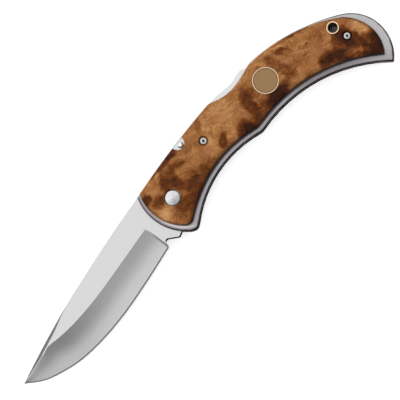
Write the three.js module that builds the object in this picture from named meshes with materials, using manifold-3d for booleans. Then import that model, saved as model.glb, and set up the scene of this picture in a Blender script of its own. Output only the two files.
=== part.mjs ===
import * as THREE from "three";
import { mergeVertices } from "three/addons/utils/BufferGeometryUtils.js";
import Module from "manifold-3d";

// Folding hunting knife with a lock bar in its back: hollow ground blade, burl wood scales on a
// stainless steel frame. It lies on its back scale with the blade open. Millimetres.
// The origin is on the pivot's axis, in the plane that the knife lies on. +X runs along the handle
// to the butt, +Y points to the spine, and +Z points out of the front scale.
// The lock bar is shown pressed, with its hook just clear of the tang, so the blade can turn.
// Turning it back by LOCK_ANGLE drops the hook into the tang's notch.

// Layers across the knife
const BLADE_THICKNESS = 3;
const WASHER_THICKNESS = 0.25;
const RUNNING_GAP = 0.05;
const LINER_THICKNESS = 1.6;
const SCALE_THICKNESS = 3.8;

// Clearances
const SEAT_GAP = 0.05;
const LOCK_GAP = 0.3;
const INLAY_GAP = 0.1;

// Handle frame, seen from the front: arcs from the spine's front corner round by the belly
const FRONT_ARC = { x: 10.9, y: 0.9, radius: 24 };
const FORE_GROOVE = { x: 25.5, y: -8.6, radius: 54 };
const REAR_GROOVE = { x: 53, y: -13.4, radius: 70 };
const BUTT_ARC = { x: 99.6, y: -24.75, radius: 19.35 };
const BUTT_ARC_END = 49.6;
const REAR_SPINE_RADIUS = 91;
const SCOOP_FLOOR = { x: 57.5, y: 8.9 };
const SCOOP_REAR_RADIUS = 50;
const SCOOP_FORE_RADIUS = 22;
const SPINE_CREST = { x: 18, y: 14.45, radius: 425 };
const FRAME_EDGE = 0.65;

// Steel border left round the wood
const BORDER_FRONT = 1.7;
const BORDER_CHIN = 2.6;
const BORDER_BELLY = 2;
const BORDER_BELLY_END = 3;
const BORDER_BUTT = 4;
const BORDER_BUTT_END = 1.7;
const BORDER_REAR_SPINE = 0.6;
const BORDER_REAR_END = 1;
const BORDER_SCOOP = 0.5;
const BORDER_SPINE = 0.6;
const SCALE_ROUND_WIDTH = 2.6;
const SCALE_ROUND_HEIGHT = 1.5;
const SCALE_ROUND_STEPS = 4;
const FRAME_EDGE_STEPS = 2;

// Blade, open
const BLADE_REACH = 107.3;
const TIP_Y = 3.3;
const PLUNGE_LENGTH = 1;
const DISTAL_TAPER_X = -80;
const TIP_THICKNESS = 0.8;
const SPINE_CHAMFER = 0.25;
const SWEDGE_X = -68.5;
const SWEDGE_LENGTH = 14;
const SWEDGE_WIDTH = 1.5;
const SWEDGE_DEPTH = 1.1;
const FLAT_STRIP = 0.55;
const EDGE_BEVEL = 0.7;
const EDGE_SHOULDER_THICKNESS = 0.6;
const EDGE_THICKNESS = 0.06;
const WHEEL_RADIUS = 75;
const BLADE_STEPS = 30;
const GRIND_STEPS = 4;
const PLUNGE_STEPS = 4;
const CLOSING_ANGLE = 167;

// Lines of the open blade as [x, y] points, from the tang to the tip
const SPINE_ROOT_Y = 13.65;
const SPINE_POINTS = [[-30, 12.7], [-55, 10.8], [-70, 9.3], [-86, 7.15]];
const EDGE_POINTS = [[-38, -13.2], [-55, -13.95], [-70, -13.2], [-84, -10.75], [-96, -5.95], [-102, -2.1]];
const GRIND_POINTS = [[-18.1, 2], [-38, 1.3], [-56, 0.85], [-70, 1.55], [-80, 3], [-86, 4.5], [-92, 5.1]];
const HEEL_POINTS = [[-17, -8.7], [-17.7, -8.9], [-18.1, -9.8], [-18.4, -10.9], [-19.2, -11.6]];
const TIP_ROUND = 0.12;

// Tang and lock
const TANG_RADIUS = 9.2;
const CHOIL = { x: -16.1, y: -8.9, radius: 0.5 };
const KICK_X = 14.65;
const KICK_LENGTH = 11.1;
const NOTCH_REAR_X = -0.7;
const HOOK_LENGTH = 5;
const HOOK_DEPTH = 1;
const LOCK_ANGLE = 2.9;
const ROCKER_PIN = { x: 21.1, y: 12 };
const ROCKER_BOSS_RADIUS = 2.3;
const ARM_UNDERSIDE_Y = 9.95;
const BAR_FRONT_TOP_Y = 12.4;
const BAR_SIDE_GAP = 0.1;
const TAIL_END_GAP = 0.9;
const TAIL_UNDERSIDE_Y = 5.95;
const TAIL_TOP_Y = 10.6;
const PRESSED_PAD = [
  [66.7, 10.1],
  [64.6, 11.35],
  [61.5, 11.5],
  [57, 11.1],
  [52, 12.1],
  [47.5, 13.1],
  [41, 13.45],
];
const PAD_STEPS = 18;

// Spring and spacer
const SPRING_THICKNESS = 1.2;
const SPRING_WIDTH = 3.2;
const SPRING_CONTACT_X = 60.5;
const SPRING_SLOT_DEPTH = 9;
const SPRING_SLOT_Y = 2.2;
const SPACER_FRONT_X = 69.4;
const SPACER_FOOT = 2.2;
const SPACER_INNER_EDGE = [
  [80, -0.6, 8],
  [92, -5.2, 10],
  [99.2, -13.5, 5],
  [102.6, -17, 4],
  [107.2, -22, 5],
  [107.2, -30, 5],
];
const SPACER_END = { x: 103.6, y: -35.2 };

// Fasteners and fittings
const PIVOT_HEAD_RADIUS = 3.3;
const PIVOT_HEAD_HOLE_RADIUS = 3.8;
const PIVOT_HEAD_DROP = 0.2;
const PIVOT_HEAD_DOME = 0.35;
const BARREL_RADIUS = 2.4;
const STUD_RADIUS = 1.3;
const WASHER_RADIUS = 6;
const ROCKER_PIN_RADIUS = 1.25;
const ROCKER_DOME_RADIUS = 1.4;
const ROCKER_DOME_HEIGHT = 0.6;
const ROCKER_CUTOUT = { x: 20.9, y: 13.4, radius: 3.25 };
const SPACER_PIN_RADIUS = 1.2;
const SPACER_PINS = { fore: { x: 83, y: 2.4 }, butt: { x: 112.4, y: -27 } };
const SCALE_SCREWS = { fore: { x: 28.8, y: 4.55 }, butt: { x: 105.6, y: -18.4 } };
const SCREW_RADIUS = 1;
const SCREW_HEAD_RADIUS = 1.55;
const SCREW_HEAD_HEIGHT = 1.3;
const SCREW_HEAD_CHAMFER = 0.15;
const SCREW_RECESS = 0.5;
const SCREW_SOCKET_RADIUS = 0.75;
const SCREW_SOCKET_DEPTH = 0.7;
const COUNTERBORE_RADIUS = 2.3;
const LANYARD_TUBE = { x: 104.6, y: -11 };
const LANYARD_RADIUS = 2.8;
const LANYARD_BORE_RADIUS = 2.35;
const LANYARD_LIP = 0.15;
const MEDALLION = { x: 67.4, y: -1.3 };
const MEDALLION_RADIUS = 6.1;
const MEDALLION_RING_WIDTH = 0.4;
const MEDALLION_DEPTH = 1.1;
const MEDALLION_RING_RISE = 0.12;

const ROUND_SEGMENTS = 30;
const FINE_SEGMENTS = 48;

// Levels across the knife, worked out from the layers
const CHANNEL = BLADE_THICKNESS + 2 * (WASHER_THICKNESS + RUNNING_GAP);
const CHANNEL_Z = SCALE_THICKNESS + LINER_THICKNESS;
const FRONT_LINER_Z = CHANNEL_Z + CHANNEL;
const FRONT_SCALE_Z = FRONT_LINER_Z + LINER_THICKNESS;
const MID_Z = CHANNEL_Z + CHANNEL / 2;
const FRONT_Z = FRONT_SCALE_Z + SCALE_THICKNESS;

const radians = THREE.MathUtils.degToRad;
const lerp = THREE.MathUtils.lerp;
const clamp = THREE.MathUtils.clamp;
const point = (x, y) => new THREE.Vector2(x, y);

const wasm = await Module();
wasm.setup();

const materials = {
  bladeSteel: new THREE.MeshStandardMaterial({ color: 0xd3d5d9, roughness: 0.3, metalness: 0.9 }),
  frameSteel: new THREE.MeshStandardMaterial({ color: 0xb9afb2, roughness: 0.35, metalness: 0.9 }),
  springSteel: new THREE.MeshStandardMaterial({ color: 0x9a9a9c, roughness: 0.4, metalness: 0.9 }),
  pinSteel: new THREE.MeshStandardMaterial({ color: 0xdcdddf, roughness: 0.25, metalness: 0.9 }),
  bronze: new THREE.MeshStandardMaterial({ color: 0xa9783f, roughness: 0.4, metalness: 0.9 }),
  brass: new THREE.MeshStandardMaterial({ color: 0xe8c49a, roughness: 0.35, metalness: 0.8 }),
  burlWood: new THREE.MeshStandardMaterial({ color: 0x8c5a30, roughness: 0.45, metalness: 0 }),
  tanInlay: new THREE.MeshStandardMaterial({ color: 0x9b7b53, roughness: 0.5, metalness: 0.2 }),
};

// A closed geometry as a solid that can be joined and cut.
function solidOf(geometry) {
  const plain = geometry.index ? geometry.toNonIndexed() : geometry.clone();
  plain.deleteAttribute("normal");
  plain.deleteAttribute("uv");
  const merged = mergeVertices(plain, 1e-4);
  const corners = merged.index.array;
  const kept = [];
  for (let i = 0; i < corners.length; i += 3) {
    const [a, b, c] = [corners[i], corners[i + 1], corners[i + 2]];
    if (a !== b && b !== c && c !== a) kept.push(a, b, c);
  }
  return new wasm.Manifold(
    new wasm.Mesh({
      numProp: 3,
      vertProperties: merged.attributes.position.array,
      triVerts: new Uint32Array(kept),
    }),
  );
}

function geometryOf(solid) {
  const mesh = solid.getMesh();
  const geometry = new THREE.BufferGeometry();
  geometry.setAttribute("position", new THREE.BufferAttribute(mesh.vertProperties, mesh.numProp));
  geometry.setIndex(new THREE.BufferAttribute(mesh.triVerts, 1));
  geometry.computeVertexNormals();
  return geometry;
}

function named(name, material, solid) {
  const mesh = new THREE.Mesh(geometryOf(solid), material);
  mesh.name = name;
  return mesh;
}

// A flat plate of the given outline, from z = low to z = high.
function plate(outline, low, high) {
  const geometry = new THREE.ExtrudeGeometry(new THREE.Shape(outline), {
    depth: high - low,
    bevelEnabled: false,
  });
  return solidOf(geometry.translate(0, 0, low));
}

// A body through layers along Z, each { at, outline } with as many points as the last.
function lofted(layers) {
  const corners = [];
  const quad = (a, b, c, d) => corners.push(...a, ...b, ...c, ...a, ...c, ...d);
  const rings = layers.map(({ at, outline }) => {
    const ordered = THREE.ShapeUtils.isClockWise(outline) ? [...outline].reverse() : outline;
    return ordered.map((p) => [p.x, p.y, at]);
  });
  rings.slice(1).forEach((ring, k) => {
    const last = rings[k];
    ring.forEach((corner, i) => {
      const next = (i + 1) % ring.length;
      quad(last[i], last[next], ring[next], corner);
    });
  });
  const flat = (ring) => ring.map(([x, y]) => point(x, y));
  const [bottom, top] = [rings[0], rings.at(-1)];
  THREE.ShapeUtils.triangulateShape(flat(bottom), []).forEach(([a, b, c]) => {
    corners.push(...bottom[a], ...bottom[c], ...bottom[b]);
  });
  THREE.ShapeUtils.triangulateShape(flat(top), []).forEach(([a, b, c]) => {
    corners.push(...top[a], ...top[b], ...top[c]);
  });
  const geometry = new THREE.BufferGeometry();
  return geometry.setAttribute("position", new THREE.Float32BufferAttribute(corners, 3));
}

// A plate on z = 0 whose upper edge is rounded inwards over width and height. outlineAt gives the
// outline moved inwards by a distance.
function crownedPlate(outlineAt, thickness, width, height, steps) {
  const layers = [{ at: 0, outline: outlineAt(0) }];
  for (let i = 0; i <= steps; i += 1) {
    const angle = (Math.PI / 2) * (i / steps);
    layers.push({
      at: thickness - height * (1 - Math.sin(angle)),
      outline: outlineAt(width * (1 - Math.cos(angle))),
    });
  }
  return solidOf(lofted(layers));
}

// A turned body about the line through (x, y) along Z. The profile lists [radius, z] upwards round
// its outside, from axis to axis, or round a ring that closes on its first point.
function turned(profile, x = 0, y = 0, segments = ROUND_SEGMENTS) {
  const geometry = new THREE.LatheGeometry(
    profile.map(([radius, z]) => point(radius, z)),
    segments,
  );
  return solidOf(geometry.rotateX(Math.PI / 2).translate(x, y, 0));
}

function rod(radius, low, high, x = 0, y = 0, segments = ROUND_SEGMENTS) {
  const geometry = new THREE.CylinderGeometry(radius, radius, high - low, segments);
  return solidOf(geometry.rotateX(Math.PI / 2).translate(x, y, (low + high) / 2));
}

function cutAll(solid, cutters) {
  return cutters.reduce((rest, cutter) => rest.subtract(cutter), solid);
}

// The crossing of two circles. side picks one of the two: 1 is to the left of the line from a to b.
function circlesMeet(a, radiusA, b, radiusB, side) {
  const gap = Math.hypot(b.x - a.x, b.y - a.y);
  const along = (gap ** 2 + radiusA ** 2 - radiusB ** 2) / (2 * gap);
  const across = Math.sqrt(radiusA ** 2 - along ** 2) * side;
  const ux = (b.x - a.x) / gap;
  const uy = (b.y - a.y) / gap;
  return point(a.x + along * ux - across * uy, a.y + along * uy + across * ux);
}

function onCircle({ x, y }, radius, angle) {
  return point(x + radius * Math.cos(angle), y + radius * Math.sin(angle));
}

function turnAbout(centre, x, y, degrees) {
  return point(x, y).rotateAround(point(centre.x, centre.y), radians(degrees));
}

// A closed outline from corners [x, y, radius], with each corner rounded by an arc.
function roundedOutline(corners) {
  const outline = [];
  corners.forEach(([x, y, radius = 0], i) => {
    const corner = point(x, y);
    if (radius === 0) {
      outline.push(corner);
      return;
    }
    const [px, py] = corners.at(i - 1);
    const [nx, ny] = corners[(i + 1) % corners.length];
    const back = point(px, py).sub(corner).normalize();
    const ahead = point(nx, ny).sub(corner).normalize();
    const half = Math.acos(clamp(back.dot(ahead), -1, 1)) / 2;
    const start = back.clone().multiplyScalar(radius / Math.tan(half)).add(corner);
    const end = ahead.clone().multiplyScalar(radius / Math.tan(half)).add(corner);
    const centre = back.add(ahead).normalize().multiplyScalar(radius / Math.sin(half)).add(corner);
    const turn = Math.PI - 2 * half;
    const steps = Math.max(2, Math.ceil(turn / radians(18)));
    const first = Math.atan2(start.y - centre.y, start.x - centre.x);
    let sweep = Math.atan2(end.y - centre.y, end.x - centre.x) - first;
    if (sweep > Math.PI) sweep -= 2 * Math.PI;
    if (sweep < -Math.PI) sweep += 2 * Math.PI;
    for (let k = 0; k <= steps; k += 1) {
      const angle = first + (sweep * k) / steps;
      outline.push(point(centre.x + radius * Math.cos(angle), centre.y + radius * Math.sin(angle)));
    }
  });
  return outline;
}

// Height over x of a smooth line through points given from high x to low x.
function heightAlong(pairs) {
  const line = new THREE.SplineCurve(pairs.map(([x, y]) => point(x, y))).getPoints(12 * pairs.length);
  return (x) => {
    const next = clamp(line.findIndex((p) => p.x <= x), 1, line.length - 1);
    const [a, b] = [line[next - 1], line[next]];
    return lerp(a.y, b.y, clamp((x - a.x) / (b.x - a.x), 0, 1));
  };
}

// The arcs of the frame's outline, anticlockwise from the spine's front corner. A hollow arc has
// its centre outside the handle. border is the steel left outside the wood along the arc, round is
// how far the rounding of its last corner reaches, and side picks that corner from the two where
// the circles cross. An arc that runs smoothly into the next ends at a given angle instead.
const buttEnd = radians(BUTT_ARC_END);
const rearSpineCentre = onCircle(BUTT_ARC, BUTT_ARC.radius - REAR_SPINE_RADIUS, buttEnd);
const below = ({ x, y, radius }) => ({ x, y: y - radius, radius });
const above = ({ x, y }, radius) => ({ x, y: y + radius, radius });
const frameArcs = [
  {
    circle: FRONT_ARC,
    steps: 14,
    border: (u) => lerp(BORDER_FRONT, BORDER_CHIN, u ** 2),
    round: 3,
    side: -1,
  },
  {
    circle: below(FORE_GROOVE),
    hollow: true,
    steps: 12,
    border: (u) => lerp(BORDER_CHIN, BORDER_BELLY, Math.min(4 * u, 1)),
    round: 1.5,
    side: 1,
  },
  {
    circle: below(REAR_GROOVE),
    hollow: true,
    steps: 12,
    border: (u) => lerp(BORDER_BELLY, BORDER_BELLY_END, u ** 2),
    round: 0.7,
    side: -1,
  },
  {
    circle: BUTT_ARC,
    steps: 14,
    border: (u) => lerp(BORDER_BUTT, BORDER_BUTT_END, u ** 3),
    round: 0,
    end: buttEnd,
  },
  {
    circle: { x: rearSpineCentre.x, y: rearSpineCentre.y, radius: REAR_SPINE_RADIUS },
    steps: 12,
    border: (u) => lerp(lerp(BORDER_REAR_SPINE, BORDER_REAR_END, u ** 3), BORDER_BUTT_END, (1 - u) ** 3),
    round: 1.2,
    side: -1,
  },
  {
    circle: above(SCOOP_FLOOR, SCOOP_REAR_RADIUS),
    hollow: true,
    steps: 5,
    border: () => BORDER_SCOOP,
    round: 0,
    end: -Math.PI / 2,
  },
  {
    circle: above(SCOOP_FLOOR, SCOOP_FORE_RADIUS),
    hollow: true,
    steps: 7,
    border: () => BORDER_SCOOP,
    round: 1.6,
    side: -1,
  },
  { circle: below(SPINE_CREST), steps: 8, border: () => BORDER_SPINE, round: 0.4, side: 1 },
];
const CORNER_STEPS = 3;

// The outline of the frame, or of the wood on it, moved inwards by a distance.
function outlineOf(wood, inset = 0) {
  const radiusAt = ({ circle, hollow, border }, u) => {
    const inwards = inset + (wood ? border(u) : 0);
    return circle.radius + (hollow ? inwards : -inwards);
  };
  const corners = frameArcs.map((arc, k) => {
    const next = frameArcs[(k + 1) % frameArcs.length];
    if (arc.end !== undefined) return onCircle(arc.circle, radiusAt(arc, 1), arc.end);
    return circlesMeet(arc.circle, radiusAt(arc, 1), next.circle, radiusAt(next, 0), arc.side);
  });
  const angleOf = ({ circle }, corner) => Math.atan2(corner.y - circle.y, corner.x - circle.x);
  const sweeps = frameArcs.map((arc, k) => {
    const from = angleOf(arc, corners.at(k - 1));
    let turn = angleOf(arc, corners[k]) - from;
    if (turn > Math.PI) turn -= 2 * Math.PI;
    if (turn < -Math.PI) turn += 2 * Math.PI;
    const length = Math.abs(turn) * arc.circle.radius;
    const begin = frameArcs.at(k - 1).round / length;
    const end = 1 - arc.round / length;
    return (v) => {
      const u = lerp(begin, end, v);
      return onCircle(arc.circle, radiusAt(arc, u), from + turn * u);
    };
  });
  return frameArcs.flatMap(({ steps, round }, k) => {
    const count = round > 0 ? steps + 1 : steps;
    const along = Array.from({ length: count }, (_, i) => sweeps[k](i / steps));
    if (round === 0) return along;
    const after = sweeps[(k + 1) % sweeps.length](0);
    const bend = new THREE.QuadraticBezierCurve(sweeps[k](1), corners[k], after);
    return [...along, ...bend.getPoints(CORNER_STEPS).slice(1, -1)];
  });
}

const frameOutline = outlineOf(false);

// Lock bar levels with the hook down in the notch
const HOOK_REAR_X = NOTCH_REAR_X - LOCK_GAP;
const HOOK_FRONT_X = HOOK_REAR_X - HOOK_LENGTH;
const NOTCH_FRONT_X = HOOK_FRONT_X - LOCK_GAP;
const HOOK_Y = Math.sqrt(TANG_RADIUS ** 2 - NOTCH_REAR_X ** 2) - HOOK_DEPTH;
const NOTCH_FLOOR_Y = HOOK_Y - LOCK_GAP;
const KICK_Y = ARM_UNDERSIDE_Y - LOCK_GAP;

const bladeSpineAt = heightAlong([
  [NOTCH_FRONT_X, SPINE_ROOT_Y],
  ...SPINE_POINTS,
  [-BLADE_REACH, TIP_Y + TIP_ROUND],
]);
const bladeEdgeAt = heightAlong([HEEL_POINTS.at(-1), ...EDGE_POINTS, [-BLADE_REACH, TIP_Y - TIP_ROUND]]);
const grindLineAt = heightAlong([...GRIND_POINTS, [-BLADE_REACH, TIP_Y]]);
const heelAt = heightAlong(HEEL_POINTS);
const [TANG_FRONT_X, HEEL_Y] = HEEL_POINTS[0];
const [HEEL_END_X] = HEEL_POINTS.at(-1);
const [PLUNGE_X] = GRIND_POINTS[0];

// One cross-section of the blade as [y, half thickness] pairs from the spine to the edge.
function bladeSection(x) {
  const spine = bladeSpineAt(x);
  const edge = x > HEEL_END_X ? heelAt(x) : bladeEdgeAt(x);
  const height = spine - edge;
  const taper = clamp((DISTAL_TAPER_X - x) / (BLADE_REACH + DISTAL_TAPER_X), 0, 1);
  const half = lerp(BLADE_THICKNESS, TIP_THICKNESS, taper) / 2;
  const ground = THREE.MathUtils.smoothstep(PLUNGE_X - x, 0, PLUNGE_LENGTH);
  const swedge = THREE.MathUtils.smoothstep(SWEDGE_X - x, 0, SWEDGE_LENGTH);
  const chamfer = lerp(0.02, SPINE_CHAMFER, ground);
  const falseEdge = Math.min(lerp(chamfer, SWEDGE_WIDTH, swedge), height / 9);
  const spineHalf = half - Math.min(lerp(chamfer, SWEDGE_DEPTH, swedge), half * 0.8);
  const shoulder = edge + Math.min(EDGE_BEVEL, height / 5);
  const flatEnd = spine - falseEdge;
  const strip = Math.min(FLAT_STRIP, height / 12);
  const grind = clamp(grindLineAt(x), shoulder + height / 5, flatEnd - strip);
  const shoulderHalf = Math.min(EDGE_SHOULDER_THICKNESS / 2, half * 0.6);
  const hollow = (grind - shoulder) ** 2 / (8 * WHEEL_RADIUS);
  const section = [
    [spine, spineHalf],
    [flatEnd, half],
  ];
  for (let i = 0; i <= GRIND_STEPS; i += 1) {
    const s = i / GRIND_STEPS;
    const cut = lerp(half, shoulderHalf, s) - 4 * hollow * s * (1 - s);
    section.push([lerp(grind, shoulder, s), lerp(half, cut, ground)]);
  }
  section.push([edge, lerp(half, EDGE_THICKNESS / 2, ground)]);
  return section;
}

// The ground part of the blade, lofted through cross-sections from the ricasso to the tip.
function groundBlade() {
  const stations = HEEL_POINTS.map(([x]) => x).filter((x) => x > PLUNGE_X);
  for (let i = 0; i < PLUNGE_STEPS; i += 1) stations.push(PLUNGE_X - (PLUNGE_LENGTH * i) / PLUNGE_STEPS);
  for (let i = 0; i <= BLADE_STEPS; i += 1) {
    stations.push(lerp(HEEL_END_X, -BLADE_REACH, 1 - (1 - i / BLADE_STEPS) ** 1.25));
  }
  const layers = stations.map((x) => {
    const half = bladeSection(x);
    const mirrored = half.map(([y, z]) => point(y, -z)).reverse();
    return { at: -x, outline: [...half.map(([y, z]) => point(y, z)), ...mirrored] };
  });
  const alongBlade = new THREE.Matrix4().makeBasis(
    new THREE.Vector3(0, 1, 0),
    new THREE.Vector3(0, 0, -1),
    new THREE.Vector3(-1, 0, 0),
  );
  return solidOf(lofted(layers).applyMatrix4(alongBlade));
}

// The ricasso and the tang, with the lock's notch above, the kick below and the flat that the
// hook drops onto when the blade is closed. Points of the closed blade are turned back to open.
function tang() {
  const opened = (x, y) => turnAbout({ x: 0, y: 0 }, x, y, -CLOSING_ANGLE);
  const kickTip = opened(KICK_X, KICK_Y);
  const kickEnd = opened(KICK_X - KICK_LENGTH, KICK_Y);
  const flatStart = opened(NOTCH_REAR_X, NOTCH_FLOOR_Y);
  const flatEnd = opened(-Math.sqrt(TANG_RADIUS ** 2 - NOTCH_FLOOR_Y ** 2), NOTCH_FLOOR_Y);
  const postTop = point(NOTCH_REAR_X, HOOK_Y + HOOK_DEPTH);
  const from = Math.atan2(flatEnd.y, flatEnd.x);
  const to = Math.atan2(postTop.y, postTop.x);
  const round = new THREE.EllipseCurve(0, 0, TANG_RADIUS, TANG_RADIUS, from, to, false).getPoints(20);
  const outline = roundedOutline([
    [TANG_FRONT_X, bladeSpineAt(TANG_FRONT_X)],
    [TANG_FRONT_X, HEEL_Y],
    [CHOIL.x, CHOIL.y, CHOIL.radius],
    [kickTip.x, kickTip.y, 0.6],
    [kickEnd.x, kickEnd.y, 1],
    [flatStart.x, flatStart.y],
    ...round.map((p) => [p.x, p.y]),
    [NOTCH_REAR_X, NOTCH_FLOOR_Y, 0.25],
    [NOTCH_FRONT_X, NOTCH_FLOOR_Y, 0.25],
    [NOTCH_FRONT_X, bladeSpineAt(NOTCH_FRONT_X)],
  ]);
  const hole = rod(BARREL_RADIUS + SEAT_GAP, -BLADE_THICKNESS, BLADE_THICKNESS);
  return plate(outline, -BLADE_THICKNESS / 2, BLADE_THICKNESS / 2).subtract(hole);
}

function makeBlade() {
  const blade = named("blade", materials.bladeSteel, groundBlade().add(tang()));
  blade.position.z = MID_Z;
  return blade;
}

const TAIL_END_X = SPACER_FRONT_X - TAIL_END_GAP;
const TAIL_START_X = ROCKER_PIN.x + ROCKER_BOSS_RADIUS;

// The lock bar about its pin: hook, arm, boss and tail with the release pad, hook down.
function makeLockBar() {
  const fromPin = ([x, y, radius = 0]) => [x - ROCKER_PIN.x, y - ROCKER_PIN.y, radius];
  const bossTop = ROCKER_PIN.y + ROCKER_BOSS_RADIUS;
  const bossFoot = ROCKER_PIN.y - ROCKER_BOSS_RADIUS;
  const pad = new THREE.SplineCurve(
    PRESSED_PAD.map(([x, y]) => turnAbout(ROCKER_PIN, x, y, LOCK_ANGLE)),
  ).getPoints(PAD_STEPS);
  const corners = [
    [HOOK_FRONT_X, BAR_FRONT_TOP_Y, 0.4],
    [HOOK_FRONT_X, HOOK_Y, 0.2],
    [HOOK_REAR_X, HOOK_Y, 0.1],
    [HOOK_REAR_X, ARM_UNDERSIDE_Y, 0.3],
    [ROCKER_PIN.x - ROCKER_BOSS_RADIUS - 1, ARM_UNDERSIDE_Y, 1],
    [ROCKER_PIN.x - 1.5, bossFoot, 1.5],
    [TAIL_START_X, bossFoot, 2],
    [TAIL_END_X, TAIL_UNDERSIDE_Y, 1],
    [TAIL_END_X, TAIL_TOP_Y, 0.5],
    ...pad.map((p) => [p.x, p.y]),
    [ROCKER_PIN.x, bossTop],
  ].map(fromPin);
  const half = CHANNEL / 2 - BAR_SIDE_GAP;
  const hole = rod(ROCKER_PIN_RADIUS + SEAT_GAP, -CHANNEL, CHANNEL);
  const solid = plate(roundedOutline(corners), -half, half).subtract(hole);
  const bar = named("lock_bar", materials.frameSteel, solid);
  bar.position.set(ROCKER_PIN.x, ROCKER_PIN.y, MID_Z);
  bar.rotation.z = radians(-LOCK_ANGLE);
  return bar;
}

// The outline of a strip of the given thickness along a line of points.
function stripOutline(line, thickness) {
  const sides = [[], []];
  line.forEach((p, i) => {
    const along = line[Math.min(i + 1, line.length - 1)].clone().sub(line[Math.max(i - 1, 0)]).normalize();
    const across = point(-along.y, along.x).multiplyScalar(thickness / 2);
    sides[0].push(p.clone().sub(across));
    sides[1].unshift(p.clone().add(across));
  });
  return [...sides[0], ...sides[1]];
}

// The leaf spring's middle line, from its free end under the tail to its end in the spacer.
function springLine(tailEnd) {
  const under = (x) => {
    const along = (x - TAIL_START_X) / (TAIL_END_X - TAIL_START_X);
    const y = lerp(ROCKER_PIN.y - ROCKER_BOSS_RADIUS, TAIL_UNDERSIDE_Y, along);
    return turnAbout(ROCKER_PIN, x, y, -LOCK_ANGLE);
  };
  const contact = under(SPRING_CONTACT_X);
  const lift = SPRING_THICKNESS / 2 + SEAT_GAP;
  const bend = new THREE.QuadraticBezierCurve(
    point(contact.x, contact.y - lift),
    point(SPACER_FRONT_X - 4, SPRING_SLOT_Y),
    point(SPACER_FRONT_X - LOCK_GAP, SPRING_SLOT_Y),
  );
  return [...bend.getPoints(8), point(tailEnd, SPRING_SLOT_Y)];
}

function makeLockSpring() {
  const line = springLine(SPACER_FRONT_X + SPRING_SLOT_DEPTH - LOCK_GAP);
  const leaf = plate(stripOutline(line, SPRING_THICKNESS), -SPRING_WIDTH / 2, SPRING_WIDTH / 2);
  const spring = named("lock_spring", materials.springSteel, leaf);
  spring.position.z = MID_Z;
  return spring;
}

// The spacer fills the channel behind the lock bar, flush with the frame round to the butt.
function makeSpacer() {
  const outside = BUTT_ARC.radius;
  const region = roundedOutline([
    [SPACER_FRONT_X, outside],
    [SPACER_FRONT_X, SPRING_SLOT_Y - SPACER_FOOT, 0.5],
    ...SPACER_INNER_EDGE,
    [SPACER_END.x, SPACER_END.y, 0.5],
    [BUTT_ARC.x, BUTT_ARC.y - outside],
    [BUTT_ARC.x + 2 * outside, BUTT_ARC.y - outside],
    [BUTT_ARC.x + 2 * outside, outside],
  ]);
  const top = CHANNEL + 1;
  const whole = plate(frameOutline, 0, CHANNEL).intersect(plate(region, -1, top));
  const slotLine = [
    point(SPACER_FRONT_X - 1, SPRING_SLOT_Y),
    point(SPACER_FRONT_X + SPRING_SLOT_DEPTH, SPRING_SLOT_Y),
  ];
  const slot = plate(stripOutline(slotLine, SPRING_THICKNESS + 2 * SEAT_GAP), -1, top);
  const through = (radius, { x, y }) => rod(radius + SEAT_GAP, -1, top, x, y);
  const holes = [
    through(LANYARD_RADIUS, LANYARD_TUBE),
    ...Object.values(SPACER_PINS).map((pin) => through(SPACER_PIN_RADIUS, pin)),
  ];
  const spacer = named("back_spacer", materials.frameSteel, cutAll(whole, [slot, ...holes]));
  spacer.position.z = CHANNEL_Z;
  return spacer;
}

// Both liners are the same plate, with the rounded edge outwards.
function linerSolid() {
  const through = (radius, { x, y }) => rod(radius + SEAT_GAP, -1, LINER_THICKNESS + 1, x, y);
  const frameAt = (inset) => outlineOf(false, inset);
  const body = crownedPlate(frameAt, LINER_THICKNESS, FRAME_EDGE, FRAME_EDGE, FRAME_EDGE_STEPS);
  return cutAll(body, [
    through(BARREL_RADIUS, { x: 0, y: 0 }),
    through(ROCKER_PIN_RADIUS, ROCKER_PIN),
    through(LANYARD_RADIUS, LANYARD_TUBE),
    ...Object.values(SPACER_PINS).map((pin) => through(SPACER_PIN_RADIUS, pin)),
    ...Object.values(SCALE_SCREWS).map((screw) => through(SCREW_RADIUS, screw)),
  ]);
}

// A scale with its inner face at z = 0 and its crowned outer face at SCALE_THICKNESS.
function scaleSolid() {
  const top = SCALE_THICKNESS + 1;
  const seat = SCALE_THICKNESS - SCREW_RECESS - SCREW_HEAD_HEIGHT;
  const screwHoles = Object.values(SCALE_SCREWS).flatMap(({ x, y }) => [
    rod(SCREW_RADIUS + SEAT_GAP, -1, top, x, y),
    rod(COUNTERBORE_RADIUS, seat, top, x, y),
  ]);
  const woodOutline = (inset) => outlineOf(true, inset);
  const [width, height, steps] = [SCALE_ROUND_WIDTH, SCALE_ROUND_HEIGHT, SCALE_ROUND_STEPS];
  const body = crownedPlate(woodOutline, SCALE_THICKNESS, width, height, steps);
  return cutAll(body, [
    rod(PIVOT_HEAD_HOLE_RADIUS, -1, top),
    rod(ROCKER_CUTOUT.radius, -1, top, ROCKER_CUTOUT.x, ROCKER_CUTOUT.y),
    rod(LANYARD_RADIUS + SEAT_GAP, -1, top, LANYARD_TUBE.x, LANYARD_TUBE.y),
    ...screwHoles,
  ]);
}

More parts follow.
